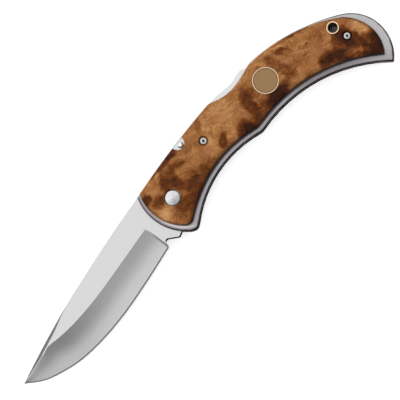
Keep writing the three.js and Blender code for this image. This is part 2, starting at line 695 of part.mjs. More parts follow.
function makeHandleSides() {
  const liner = linerSolid();
  const scale = scaleSolid();
  const floor = SCALE_THICKNESS - MEDALLION_DEPTH;
  const top = SCALE_THICKNESS + 1;
  const { x, y } = MEDALLION;
  const recess = rod(MEDALLION_RADIUS + INLAY_GAP, floor, top, x, y, FINE_SEGMENTS);
  const frontLiner = named("liner_front", materials.frameSteel, liner);
  const backLiner = named("liner_back", materials.frameSteel, liner);
  const frontScale = named("scale_front", materials.burlWood, scale.subtract(recess));
  const backScale = named("scale_back", materials.burlWood, scale);
  frontLiner.position.z = FRONT_LINER_Z;
  frontScale.position.z = FRONT_SCALE_Z;
  backLiner.position.z = CHANNEL_Z;
  backLiner.scale.z = -1;
  backScale.position.z = SCALE_THICKNESS;
  backScale.scale.z = -1;
  return [frontLiner, backLiner, frontScale, backScale];
}

function ring(outer, inner, low, high) {
  return [
    [inner, low],
    [outer, low],
    [outer, high],
    [inner, high],
    [inner, low],
  ];
}

// The pivot is a rivet in two halves: a barrel with a domed head in front, and a stud pressed into
// it from behind, its flat head flush with the back scale.
function makePivot() {
  const barrelEnd = SCALE_THICKNESS + RUNNING_GAP;
  const boreEnd = FRONT_LINER_Z;
  const rim = FRONT_Z - PIVOT_HEAD_DROP;
  const dome = [1, 0.93, 0.7, 0.35].map((share) => [
    PIVOT_HEAD_RADIUS * share,
    rim + PIVOT_HEAD_DOME * (1 - share ** 2),
  ]);
  const barrel = turned([
    [0, boreEnd],
    [STUD_RADIUS + SEAT_GAP, boreEnd],
    [STUD_RADIUS + SEAT_GAP, barrelEnd],
    [BARREL_RADIUS, barrelEnd],
    [BARREL_RADIUS, FRONT_SCALE_Z],
    [PIVOT_HEAD_RADIUS, FRONT_SCALE_Z],
    ...dome,
    [0, rim + PIVOT_HEAD_DOME],
  ]);
  const stud = turned([
    [0, 0],
    [PIVOT_HEAD_RADIUS, 0],
    [PIVOT_HEAD_RADIUS, SCALE_THICKNESS],
    [STUD_RADIUS, SCALE_THICKNESS],
    [STUD_RADIUS, boreEnd - LOCK_GAP],
    [0, boreEnd - LOCK_GAP],
  ]);
  const washer = turned(ring(WASHER_RADIUS, BARREL_RADIUS + SEAT_GAP, 0, WASHER_THICKNESS));
  const washerBack = named("washer_back", materials.bronze, washer);
  const washerFront = named("washer_front", materials.bronze, washer);
  washerBack.position.z = CHANNEL_Z;
  washerFront.position.z = FRONT_LINER_Z - WASHER_THICKNESS;
  return [
    named("pivot_barrel", materials.pinSteel, barrel),
    named("pivot_stud", materials.pinSteel, stud),
    washerBack,
    washerFront,
  ];
}

// The rocker pin's ends are peened into low domes on the liners.
function makeRockerPin() {
  const low = SCALE_THICKNESS;
  const high = FRONT_SCALE_Z;
  const shares = [1, 0.8, 0.45];
  const domeAt = (share) => ROCKER_DOME_HEIGHT * Math.sqrt(1 - (share * 0.98) ** 2);
  const pin = turned([
    [0, low - domeAt(0)],
    ...[...shares].reverse().map((share) => [ROCKER_DOME_RADIUS * share, low - domeAt(share)]),
    [ROCKER_DOME_RADIUS, low],
    [ROCKER_PIN_RADIUS, low],
    [ROCKER_PIN_RADIUS, high],
    [ROCKER_DOME_RADIUS, high],
    ...shares.map((share) => [ROCKER_DOME_RADIUS * share, high + domeAt(share)]),
    [0, high + domeAt(0)],
  ]);
  const mesh = named("rocker_pin", materials.pinSteel, pin);
  mesh.position.set(ROCKER_PIN.x, ROCKER_PIN.y, 0);
  return mesh;
}

// Plain pins through both liners and the spacer, flush with the liners under the wood.
function makeSpacerPins() {
  return Object.entries(SPACER_PINS).map(([place, { x, y }]) => {
    const pin = rod(SPACER_PIN_RADIUS, SCALE_THICKNESS, FRONT_SCALE_Z);
    const mesh = named(`spacer_pin_${place}`, materials.pinSteel, pin);
    mesh.position.set(x, y, 0);
    return mesh;
  });
}

// A scale screw, its head's top at z = 0 and its shank down through the wood and the liner.
function screwSolid() {
  const tip = SCREW_RECESS - SCALE_THICKNESS - LINER_THICKNESS;
  const rim = SCREW_HEAD_CHAMFER;
  const body = turned([
    [0, tip],
    [SCREW_RADIUS, tip],
    [SCREW_RADIUS, -SCREW_HEAD_HEIGHT],
    [SCREW_HEAD_RADIUS, -SCREW_HEAD_HEIGHT],
    [SCREW_HEAD_RADIUS, -rim],
    [SCREW_HEAD_RADIUS - rim, 0],
    [0, 0],
  ]);
  return body.subtract(rod(SCREW_SOCKET_RADIUS, -SCREW_SOCKET_DEPTH, 1, 0, 0, 6));
}

function makeScaleScrews() {
  const screw = screwSolid();
  return Object.entries(SCALE_SCREWS).flatMap(([place, { x, y }]) => {
    const front = named(`scale_screw_front_${place}`, materials.pinSteel, screw);
    const back = named(`scale_screw_back_${place}`, materials.pinSteel, screw);
    front.position.set(x, y, FRONT_Z - SCREW_RECESS);
    back.position.set(x, y, SCREW_RECESS);
    back.rotation.x = Math.PI;
    return [front, back];
  });
}

function makeLanyardTube() {
  const lip = LANYARD_LIP;
  const tube = turned([
    [LANYARD_BORE_RADIUS, lip],
    [LANYARD_BORE_RADIUS + lip, 0],
    [LANYARD_RADIUS, 0],
    [LANYARD_RADIUS, FRONT_Z],
    [LANYARD_BORE_RADIUS + lip, FRONT_Z],
    [LANYARD_BORE_RADIUS, FRONT_Z - lip],
    [LANYARD_BORE_RADIUS, lip],
  ]);
  const mesh = named("lanyard_tube", materials.brass, tube);
  mesh.position.set(LANYARD_TUBE.x, LANYARD_TUBE.y, 0);
  return mesh;
}

function makeMedallion() {
  const floor = FRONT_Z - MEDALLION_DEPTH;
  const inner = MEDALLION_RADIUS - MEDALLION_RING_WIDTH;
  const middle = MEDALLION_RADIUS - MEDALLION_RING_WIDTH / 2;
  const band = turned(
    [
      [inner, floor],
      [MEDALLION_RADIUS, floor],
      [MEDALLION_RADIUS, FRONT_Z],
      [middle, FRONT_Z + MEDALLION_RING_RISE],
      [inner, FRONT_Z],
      [inner, floor],
    ],
    0,
    0,
    FINE_SEGMENTS,
  );
  const disc = rod(inner - SEAT_GAP, floor, FRONT_Z - 2 * INLAY_GAP, 0, 0, FINE_SEGMENTS);
  const meshes = [
    named("medallion_ring", materials.brass, band),
    named("medallion_disc", materials.tanInlay, disc),
  ];
  meshes.forEach((mesh) => mesh.position.set(MEDALLION.x, MEDALLION.y, 0));
  return meshes;
}

const knife = new THREE.Group();
knife.add(
  makeBlade(),
  makeLockBar(),
  makeLockSpring(),
  makeSpacer(),
  ...makeHandleSides(),
  ...makePivot(),
  makeRockerPin(),
  ...makeSpacerPins(),
  ...makeScaleScrews(),
  makeLanyardTube(),
  ...makeMedallion(),
);

export default knife;
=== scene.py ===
"""Looks of the folding hunting knife: finishes for its solids, and the stage it is shown on."""

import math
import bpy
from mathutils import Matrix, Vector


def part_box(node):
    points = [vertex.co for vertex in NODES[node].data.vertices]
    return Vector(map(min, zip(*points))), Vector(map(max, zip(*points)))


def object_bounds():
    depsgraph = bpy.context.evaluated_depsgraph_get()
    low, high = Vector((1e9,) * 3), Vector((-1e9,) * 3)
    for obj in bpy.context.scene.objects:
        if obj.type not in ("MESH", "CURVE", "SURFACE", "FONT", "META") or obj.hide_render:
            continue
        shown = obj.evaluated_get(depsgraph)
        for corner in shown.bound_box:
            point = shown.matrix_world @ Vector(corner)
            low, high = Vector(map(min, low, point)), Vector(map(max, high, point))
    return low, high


bl_info = {
    "name": "Folding Knife Looks",
    "version": (1, 0, 0),
    "blender": (4, 5, 0),
    "location": "3D View > Sidebar > Knife",
    "description": "Finishes for a folding knife with burl scales, and the stage it lies on",
    "category": "Material",
}

import bmesh
import bpy
from bpy.props import FloatProperty, FloatVectorProperty, PointerProperty
from mathutils import Matrix, Vector

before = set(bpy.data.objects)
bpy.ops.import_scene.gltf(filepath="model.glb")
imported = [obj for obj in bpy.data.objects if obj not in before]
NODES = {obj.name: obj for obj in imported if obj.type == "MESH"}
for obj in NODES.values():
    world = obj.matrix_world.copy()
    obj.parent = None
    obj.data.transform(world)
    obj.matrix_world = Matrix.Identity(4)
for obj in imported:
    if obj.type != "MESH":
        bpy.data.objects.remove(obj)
CAD_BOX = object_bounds()

MM = 0.001

# Height of the blade's middle plane, and half the width of its channel, in millimetres
BLADE_LOW, BLADE_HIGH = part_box("blade")
MIDDLE_Z = (BLADE_LOW.z + BLADE_HIGH.z) / 2 / MM
CHANNEL_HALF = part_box("liner_front")[0].z / MM - MIDDLE_Z

# Stretches of the blade over which a finish comes in, in millimetres in front of the pivot:
# the hollow grind's plunge, the false edge, and the painted shade that darkens the hollow
# towards the point
PLUNGE = (18.1, 18.3)
FALSE_EDGE = (66, 70)
POINT_SHADE = (45, 92)

# Stretches of x, in millimetres: the heel's painted dark outline starts, the painted highlight
# on the frame's nose ends, the painted shade on its front edge ends, and the painted shade on
# the belly's border deepens and lifts
HEEL = (-17.8, -17)
NOSE_END = (-9, -2)
FRONT_END = (-4, 2)
SHADE_DEEPENS = (60, 86)
SHADE_LIFTS = (92, 112)

# Circles whose arcs make the belly's two finger grooves: x, y and radius in millimetres
BELLY_GROOVES = ((25.5, -62.6, 54), (53, -83.4, 70))

# Circle whose arc is the frame's front edge: x, y and radius in millimetres
FRONT_EDGE = (10.9, 0.9, 24)

# Half-moon cut-out at the rocker pin, in millimetres: how far its middle lies above the pin,
# and the radii over which the painted highlight on the steel in it ends
HALF_MOON_RISE = 1.4
HALF_MOON_RIM = (3.3, 3.6)

# Fittings, in millimetres: radii over which the medallion's disc darkens, radius inside which
# the lanyard tube has painted shade in its bore, and depth of a screw's socket
DISC_RIM = (4.9, 5.5)
LANYARD_BORE = 2.3
SCREW_SOCKET = 0.6

# Brightness of the screws and of the rocker pin beside the other pins; the rocker pin's is
# raised as a painted highlight
SCREW_GLOSS = 0.88
ROCKER_HIGHLIGHT = 1.5

# Edges sharper than this many degrees stay sharp
SPLIT = 40
BLADE_SPLIT = 7
LINER_SPLIT = 50

# Vertices nearer than this are welded by a modifier, in metres
WELD_DISTANCE = 0.001 * MM

# Stage, in metres: gap under the knife, reach of what hides the floor, and the shares of open
# sky between which the floor's glow comes in
FLOOR_GAP = 0.05 * MM
HIDING_REACH = 30 * MM
GLOW_SKY = (0.14, 0.3)

# How far the lamp's edge reaches over the belly's side, in metres
LAMP_OVERHANG = 0.035

# Figure of the burl: x and y of a patch's middle, its reach along the handle and across it, in
# millimetres, the way it leans in degrees, and its depth, which is below 0 for a light patch
BURL_FIGURE = (
    (-8.0, 9.0, 4.0, 2.6, 12, 0.78),
    (-5.0, 4.0, 4.2, 3.2, 35, 0.6),
    (9.0, 13.2, 10.0, 2.0, -5, 0.8),
    (5.0, 7.2, 5.0, 6.6, -35, 0.65),
    (6.0, 1.0, 3.0, 3.6, 0, 0.6),
    (13.8, 7.6, 4.2, 1.8, -22, 0.5),
    (9.0, -6.8, 17.0, 6.2, 3, 0.6),
    (15.0, -2.8, 7.4, 3.8, 6, 0.25),
    (33.6, 11.8, 4.6, 1.5, 50, 0.3),
    (34.0, -2.8, 4.2, 2.1, 42, 0.7),
    (44.6, -8.4, 5.6, 4.2, -15, 0.95),
    (54.6, -2.6, 3.4, 8.0, -16, 0.7),
    (58.4, 0.0, 4.0, 7.0, 0, 0.2),
    (58.0, -8.4, 8.0, 5.0, 0, 0.5),
    (66.0, -10.0, 7.6, 3.8, -3, 1.0),
    (76.2, -4.0, 3.4, 8.4, 5, 0.6),
    (82.4, 0.6, 5.4, 1.9, -45, 0.5),
    (92.8, 2.0, 6.6, 1.8, -32, 0.6),
    (88.0, -7.0, 16.0, 9.0, -25, 0.2),
    (91.4, -17.8, 4.6, 3.4, -30, 0.9),
    (100.6, -17.0, 3.4, 2.8, -20, 0.6),
    (98.2, -22.0, 7.0, 3.6, -42, 0.9),
    (104.6, -18.0, 4.6, 5.6, 10, 0.9),
    (107.0, -24.4, 6.4, 5.0, -60, 0.95),
    (112.0, -30.4, 5.0, 7.0, -15, 1.0),
    (104.8, -31.0, 6.0, 3.0, -46, 0.9),
    (-8.6, -2.4, 3.8, 5.4, -20, -0.5),
    (3.4, 11.4, 4.8, 1.5, 52, -0.65),
    (57.5, -4.0, 1.1, 2.8, -10, -0.5),
    (80.5, 4.4, 6.2, 1.4, -24, -0.5),
    (85.0, -2.6, 5.4, 1.3, -45, -0.4),
    (111.8, -20.4, 3.3, 5.2, 25, -0.8),
    (101.4, -24.2, 4.0, 1.5, -32, -0.7),
    (105.0, -26.8, 2.8, 1.2, 32, -0.6),
    (109.8, -27.4, 1.3, 1.1, 0, -0.8),
)


def tone(red, green, blue):
    """A colour given as it reads on a screen, from 0 to 255, in linear light."""
    return tuple(
        c / 12.92 if c <= 0.04045 else ((c + 0.055) / 1.055) ** 2.4
        for c in (red / 255, green / 255, blue / 255)
    )


# Tints that tempering leaves on the spring, each with its place in a colour ramp
SPRING_TINTS = (
    (0.3, tone(120, 112, 104)), (0.55, tone(140, 134, 128)), (0.75, tone(104, 110, 126)),
)

# Painted shade inside the lanyard tube's bore
BORE_SHADE_COLOUR = tone(12, 12, 6)


class BladeFinish(bpy.types.PropertyGroup):
    """Finish of the blade."""

    flat_colour: FloatVectorProperty(
        name="Flats", description="Satin flats and ricasso", subtype="COLOR",
        size=3, min=0, max=1, default=(0.49, 0.49, 0.49))
    hollow_colour: FloatVectorProperty(
        name="Hollow", description="Hollow grind next to the edge", subtype="COLOR",
        size=3, min=0, max=1, default=(0.41, 0.41, 0.412))
    # Painted shade: a darker copy of the hollow's colour, blended in towards the grind line
    shade_colour: FloatVectorProperty(
        name="Grind line", description="Hollow grind next to the grind line", subtype="COLOR",
        size=3, min=0, max=1, default=(0.36, 0.36, 0.362))
    # Painted dark reflection on the cutting bevel and the false edge
    bevel_reflection_colour: FloatVectorProperty(
        name="Bevels", description="Cutting bevel and false edge", subtype="COLOR",
        size=3, min=0, max=1, default=(0.21, 0.21, 0.212))
    # Painted shade: the kick's and heel's steep walls and the heel's outline are near black
    wall_shade_colour: FloatVectorProperty(
        name="Walls", description="Steep walls of the kick and the heel", subtype="COLOR",
        size=3, min=0, max=1, default=tone(22, 22, 24))
    flat_roughness: FloatProperty(
        name="Flat roughness", description="Roughness of the satin flats",
        subtype="FACTOR", min=0, max=1, default=0.3)
    hollow_roughness: FloatProperty(
        name="Hollow roughness", description="Roughness of the polished hollow grind",
        subtype="FACTOR", min=0, max=1, default=0.24)


class WoodFinish(bpy.types.PropertyGroup):
    """Finish of the burl scales."""

    light_colour: FloatVectorProperty(
        name="Light wood", description="Lightest figure of the burl", subtype="COLOR",
        size=3, min=0, max=1, default=tone(204, 154, 100))
    warm_colour: FloatVectorProperty(
        name="Warm wood", description="Most of the burl", subtype="COLOR",
        size=3, min=0, max=1, default=tone(160, 106, 58))
    brown_colour: FloatVectorProperty(
        name="Brown wood", description="Brown figure of the burl", subtype="COLOR",
        size=3, min=0, max=1, default=tone(106, 54, 10))
    rosy_colour: FloatVectorProperty(
        name="Rosy wood", description="Rosy clouds in the burl", subtype="COLOR",
        size=3, min=0, max=1, default=tone(178, 116, 84))
    dark_colour: FloatVectorProperty(
        name="Dark wood", description="Darkest figure and the eyes of the burl", subtype="COLOR",
        size=3, min=0, max=1, default=tone(52, 18, 0))
    roughness: FloatProperty(
        name="Roughness", description="Roughness of the buffed wood",
        subtype="FACTOR", min=0, max=1, default=0.42)


class FrameFinish(bpy.types.PropertyGroup):
    """Finish of the liners, spacer and lock bar, with painted shade and highlights."""

    # Painted shade: the border along the belly is a darker copy of the other borders' steel
    belly_border_shade_colour: FloatVectorProperty(
        name="Belly border", description="Steel border along the belly", subtype="COLOR",
        size=3, min=0, max=1, default=tone(148, 143, 147))
    butt_colour: FloatVectorProperty(
        name="Other borders", description="Steel border at the butt and the front",
        subtype="COLOR", size=3, min=0, max=1, default=tone(163, 160, 161))
    # Painted highlight on the border at the front, towards the belly
    nose_highlight_colour: FloatVectorProperty(
        name="Nose border", description="Steel border at the front, towards the belly",
        subtype="COLOR", size=3, min=0, max=1, default=tone(200, 196, 198))
    # Painted shade on the border next to its front edge
    front_edge_shade_colour: FloatVectorProperty(
        name="Front edge", description="Steel border next to its front edge",
        subtype="COLOR", size=3, min=0, max=1, default=tone(118, 110, 116))
    # Painted shade: the rounded edges and walls on the belly's side are near black
    wall_shade_colour: FloatVectorProperty(
        name="Belly edges", description="Rounded edges and walls on the belly's side",
        subtype="COLOR", size=3, min=0, max=1, default=tone(12, 10, 12))
    # Painted shade on the rounded edges and walls at the front and the butt
    end_edge_shade_colour: FloatVectorProperty(
        name="End edges", description="Rounded edges and walls at the front and the butt",
        subtype="COLOR", size=3, min=0, max=1, default=tone(105, 100, 104))
    # Painted highlight on the rounded edges and walls on the spine's side
    spine_edge_highlight_colour: FloatVectorProperty(
        name="Spine edges", description="Rounded edges and walls on the spine's side",
        subtype="COLOR", size=3, min=0, max=1, default=tone(236, 230, 228))
    side_colour: FloatVectorProperty(
        name="Sides", description="Upright walls all round the frame", subtype="COLOR",
        size=3, min=0, max=1, default=tone(176, 171, 173))
    # Painted shade on the faces towards the blade's channel
    channel_shade_colour: FloatVectorProperty(
        name="Inner faces", description="Faces towards the blade's channel", subtype="COLOR",
        size=3, min=0, max=1, default=tone(40, 36, 38))
    bar_colour: FloatVectorProperty(
        name="Lock bar", description="Lock bar and its pad", subtype="COLOR",
        size=3, min=0, max=1, default=(0.54, 0.543, 0.546))
    roughness: FloatProperty(
        name="Roughness", description="Roughness of the polished frame",
        subtype="FACTOR", min=0, max=1, default=0.32)


class FittingFinish(bpy.types.PropertyGroup):
    """Finish of the pins, screws, lanyard tube and medallion."""

    pin_colour: FloatVectorProperty(
        name="Pins", description="Bright steel of pins and screws", subtype="COLOR",
        size=3, min=0, max=1, default=(0.52, 0.52, 0.53))
    brass_colour: FloatVectorProperty(
        name="Brass", description="Pale brass of the rings", subtype="COLOR",
        size=3, min=0, max=1, default=tone(246, 218, 182))
    inlay_colour: FloatVectorProperty(
        name="Inlay", description="Matt disc of the medallion", subtype="COLOR",
        size=3, min=0, max=1, default=tone(146, 113, 73))
    bronze_colour: FloatVectorProperty(
        name="Bronze", description="Washers beside the tang", subtype="COLOR",
        size=3, min=0, max=1, default=tone(150, 104, 58))


class StageSetup(bpy.types.PropertyGroup):
    """Floor, light and camera."""

    floor_size: FloatProperty(
        name="Floor", description="Side of the floor", unit="LENGTH", min=1, default=10)
    floor_glow: FloatProperty(
        name="Floor glow", description="Light added to the floor, as seen and as reflected",
        subtype="FACTOR", min=0, max=1, default=0.44)
    lamp_height: FloatProperty(
        name="Lamp height", description="Height of the soft lamp", unit="LENGTH", min=0.2,
        default=1)
    lamp_width: FloatProperty(
        name="Lamp width", description="Width of the soft lamp", unit="LENGTH", min=0.1,
        default=1.6)
    lamp_depth: FloatProperty(
        name="Lamp depth", description="Depth of the soft lamp towards the spine's side",
        unit="LENGTH", min=0.1, default=1.2)
    lamp_level: FloatProperty(
        name="Lamp level", description="Brightness of the lamp's face, 1 is white",
        min=0, default=0.7)
    sky_level: FloatProperty(
        name="Sky level", description="Brightness of the surroundings, 1 is white",
        min=0, default=0.85)
    camera_distance: FloatProperty(
        name="Camera distance", description="Distance of the camera", unit="LENGTH", min=0.3,
        default=2.6)
    camera_lean: FloatProperty(
        name="Camera lean", description="Lean of the camera from overhead to the belly's side",
        subtype="ANGLE", default=math.radians(7.4))
    handle_angle: FloatProperty(
        name="Handle angle", description="Rise of the handle in the picture",
        subtype="ANGLE", default=math.radians(52.7))
    view_width: FloatProperty(
        name="View width", description="Width of the picture at the knife", unit="LENGTH",
        min=0.05, default=0.18)
    view_centre: FloatVectorProperty(
        name="View centre", description="Point in the middle of the picture",
        subtype="TRANSLATION", unit="LENGTH", size=3, default=(0.00673, -0.01054, 0.0142))


class Term:
    """A shader socket in a Python expression, which adds Math or Vector Math nodes."""

    def __init__(self, shader, socket):
        self.shader = shader
        self.socket = socket

    def _of(self, operation, left, right):
        sides = [side for side in (left, right) if isinstance(side, Term)]
        vectors = any(side.socket.type == "VECTOR" for side in sides)
        return self.shader.maths(operation, left, right, "VectorMath" if vectors else "Math")

    def __add__(self, other):
        return self._of("ADD", self, other)

    def __radd__(self, other):
        return self._of("ADD", other, self)

    def __sub__(self, other):
        return self._of("SUBTRACT", self, other)

    def __rsub__(self, other):
        return self._of("SUBTRACT", other, self)

    def __mul__(self, other):
        return self._of("MULTIPLY", self, other)

    def __rmul__(self, other):
        return self._of("MULTIPLY", other, self)

    def __pow__(self, other):
        return self._of("POWER", self, other)

    def __neg__(self):
        return self._of("MULTIPLY", self, -1)

    def __abs__(self):
        return self.shader.maths("ABSOLUTE", self)


class Shader:
    """The nodes of one material or world, built from terms."""

    def __init__(self, owner):
        owner.use_nodes = True
        self.owner = owner
        self.tree = owner.node_tree
        self.tree.nodes.clear()

    def node(self, kind, settings=None, inputs=None, output=0):
        """Any node: its settings are set first, then the values or links of its sockets. An
        output node, which has no outputs, returns nothing."""
        node = self.tree.nodes.new("ShaderNode" + kind)
        for name, value in (settings or {}).items():
            if name == "stops":
                self._set_stops(node.color_ramp, value)
            else:
                setattr(node, name, value)
        for key, value in (inputs or {}).items():
            self._plug(node.inputs[key], value)
        return Term(self, node.outputs[output]) if node.outputs else None

    def _set_stops(self, ramp, stops):
        while len(ramp.elements) < len(stops):
            ramp.elements.new(0.5)
        for element, (position, colour) in zip(ramp.elements, stops):
            element.position = position
            element.color = (*colour, 1)

    def _plug(self, socket, value):
        if isinstance(value, Term):
            self.tree.links.new(value.socket, socket)
        elif socket.type == "VECTOR" and isinstance(value, (int, float)):
            socket.default_value = (value, value, value)
        elif socket.type == "RGBA":
            socket.default_value = (*value, 1)
        else:
            socket.default_value = value

    def maths(self, operation, one, other=0, kind="Math"):
        """One operation on one or two values."""
        return self.node(kind, {"operation": operation}, {0: one, 1: other})

    def place(self):
        """Place on the object, in millimetres."""
        return self.node("TexCoord", output="Object") * 1000

    def parts(self, vector):
        """The x, y and z of a vector."""
        return [self.node("SeparateXYZ", None, {0: vector}, axis) for axis in range(3)]

    def reach(self, x, y, middle_x, middle_y):
        """Distance from an axis along Z."""
        return ((x - middle_x) ** 2 + (y - middle_y) ** 2) ** 0.5

    def facing(self):
        """The x, y and z of the surface's own direction."""
        return self.parts(self.node("TexCoord", output="Normal"))

    def noise(self, place, scale, detail=2, roughness=0.5, output="Fac"):
        """Noise with `scale` features to the millimetre."""
        return self.node("TexNoise", {"noise_dimensions": "3D"}, {
            "Vector": place, "Scale": scale, "Detail": detail, "Roughness": roughness}, output)

    def drift(self, place, scale, detail, roughness=0.5):
        """Noise about 0, the same in x, y and z, that pushes a place along one diagonal."""
        colour = self.noise(place, scale, detail, roughness, "Color")
        return self.node("RGBToBW", None, {0: colour}) - 0.5

    def rings(self, away, scale, detail, roughness=0.5):
        """Noise that changes with the distance from an axis alone."""
        return self.noise(self.node("CombineXYZ", None, {0: away}), scale, detail, roughness)

    def between(self, value, low, high):
        """A smooth step from 0 at low to 1 at high."""
        return self.node("MapRange", {"interpolation_type": "SMOOTHSTEP"}, {
            "Value": value, "From Min": low, "From Max": high})

    def until(self, value, low, high):
        """A smooth step from 1 at low to 0 at high."""
        return 1 - self.between(value, low, high)

    def upright(self, up, low=0.3, high=0.8):
        """1 where the surface stands upright, 0 where it faces the front or the back."""
        return self.until(abs(up), low, high)

    def either(self, one, other):
        """The larger of two values."""
        return self.maths("MAXIMUM", one, other)

    def blend(self, one, other, factor):
        """A colour between two."""
        return self.node("Mix", {"data_type": "RGBA"}, {0: factor, 6: one, 7: other}, 2)

    def shaded(self, colour, factor):
        """A colour made darker or lighter by a factor."""
        grey = self.node("CombineColor", None, {0: factor, 1: factor, 2: factor})
        return self.node("Mix", {"data_type": "RGBA", "blend_type": "MULTIPLY"}, {
            0: 1, 6: colour, 7: grey}, 2)

    def eased(self, radius, samples=4):
        """The surface's direction with every sharp edge eased by a radius in millimetres."""
        return self.node("Bevel", {"samples": samples}, {"Radius": radius * MM})

    def edge_turned_to_belly(self, radius):
        """How far an edge within a radius in millimetres turns the surface to -Y, 0 to 1."""
        turned = self.node("VectorTransform", {
            "vector_type": "NORMAL", "convert_from": "WORLD", "convert_to": "OBJECT",
        }, {0: self.eased(radius, 16)})
        return self.between(-self.parts(turned)[1], 0.04, 0.1)

    def finish(self, inputs, relief=None, depth=0.02, radius=0.12):
        """Close the material with its surface, a relief of some depth and edges eased by a
        radius, both in millimetres."""
        normal = self.eased(radius)
        if relief is not None:
            normal = self.node("Bump", None, {
                "Strength": 1, "Distance": depth * MM, "Height": relief, "Normal": normal})
        surface = self.node("BsdfPrincipled", None, {**inputs, "Normal": normal})
        self.node("OutputMaterial", None, {"Surface": surface})
        return self.owner


def paint(name):
    """The shader of a new material."""
    return Shader(bpy.data.materials.new(name))


def dress(node, material, split=SPLIT):
    """Put a finish on a solid and shade it smooth, with edges sharper than `split` degrees kept."""
    solid = NODES[node]
    mesh = solid.data
    if "custom_normal" in mesh.attributes:
        mesh.attributes.remove(mesh.attributes["custom_normal"])
    mesh.shade_smooth()
    weld = solid.modifiers.new("weld", "WELD")
    weld.merge_threshold = WELD_DISTANCE
    edges = solid.modifiers.new("edges", "EDGE_SPLIT")
    edges.split_angle = math.radians(split)
    even = solid.modifiers.new("even", "WEIGHTED_NORMAL")
    even.weight = 100
    even.keep_sharp = True
    mesh.materials.clear()
    mesh.materials.append(material)


def blade_steel(finish):
    """Satin flats, and a polished hollow grind with painted shade towards the grind line and the
    point. The bevels carry a painted dark reflection and the walls painted shade.
    """
    shader = paint("blade_steel")
    place = shader.place()
    x, y, _ = shader.parts(place)
    _, lean, up = shader.facing()
    beyond = shader.between(-x, *PLUNGE)
    hollow = shader.either(shader.between(-lean, 0.02, 0.035), shader.between(-y, 0, 0.2)) * beyond
    # Painted dark reflection: the cutting bevel and the false edge take the bevels' dark colour
    bevels = shader.either(
        shader.between(-lean, 0.24, 0.28) * beyond,
        shader.between(lean, 0.3, 0.4) * shader.between(-x, *FALSE_EDGE),
    )
    # Painted shade: the kick's and heel's walls facing the belly, and the heel's edges that turn to
    # the belly, are painted near black and not metallic
    walls = shader.upright(up) * shader.between(-lean, 0, 0.5)
    outline = shader.either(walls, shader.edge_turned_to_belly(0.7) * shader.between(x, *HEEL))
    length_lines = shader.noise(place * (0.06, 7, 1), 1, 3, 0.7)
    cross_lines = shader.noise(place * (7, 0.08, 1), 1, 3, 0.7)
    cloud = shader.noise(place, 0.07, 2)
    lines = length_lines + (cross_lines - length_lines) * hollow
    # Painted shade on the hollow grind, darker towards the grind line and towards the point
    hollow_shaded = shader.blend(
        finish.hollow_colour, finish.shade_colour, shader.between(-lean, 0.03, 0.17))
    hollow_shaded = shader.shaded(hollow_shaded, 1 - shader.between(-x, *POINT_SHADE) * (
        0.16 + 0.26 * shader.between(-lean, 0, 0.15)))
    colour = shader.blend(finish.flat_colour, hollow_shaded, hollow)
    colour = shader.blend(colour, finish.bevel_reflection_colour, bevels)
    colour = shader.blend(colour, finish.wall_shade_colour, outline)
    colour = shader.shaded(colour, 0.95 + 0.06 * lines + 0.04 * cloud)
    rough = finish.flat_roughness + (finish.hollow_roughness - finish.flat_roughness) * hollow
    return shader.finish({
        "Base Color": colour,
        "Metallic": 1 - outline,
        "Specular IOR Level": 0.0,
        "Roughness": rough + 0.08 * (lines - 0.5),
    }, lines, 0.004, 0.06)


def belly_depth(shader, place):
    """Distance in millimetres from the belly's edge of the frame, along its two grooves."""
    x, y, _ = shader.parts(place)
    fore, rear = (
        shader.reach(x, y, groove_x, groove_y) - radius
        for groove_x, groove_y, radius in BELLY_GROOVES
    )
    return shader.maths("MINIMUM", fore, rear)


def border_colour(shader, finish, place):
    """Colour of the frame's flat border: painted shade along the belly and the front edge, and a
    painted highlight on the nose.
    """
    x, y, _ = shader.parts(place)
    # Painted shade along the belly's border, deepest along part of its length
    deeper_shade = shader.between(x, *SHADE_DEEPENS) * shader.until(x, *SHADE_LIFTS)
    belly = shader.shaded(finish.belly_border_shade_colour, 1 - 0.36 * deeper_shade)
    face = shader.blend(
        belly, finish.butt_colour, shader.between(belly_depth(shader, place), 2, 7))
    # Painted highlight on the border's nose, towards the belly
    nose = shader.between(-y, -1, 6) * shader.until(x, *NOSE_END)
    face = shader.blend(face, finish.nose_highlight_colour, nose)
    # Painted shade on the border next to its front edge
    front_x, front_y, radius = FRONT_EDGE
    depth = radius - shader.reach(x, y, front_x, front_y)
    clear = shader.either(shader.between(depth, 0.6, 2), shader.between(x, *FRONT_END))
    return shader.blend(finish.front_edge_shade_colour, face, clear)


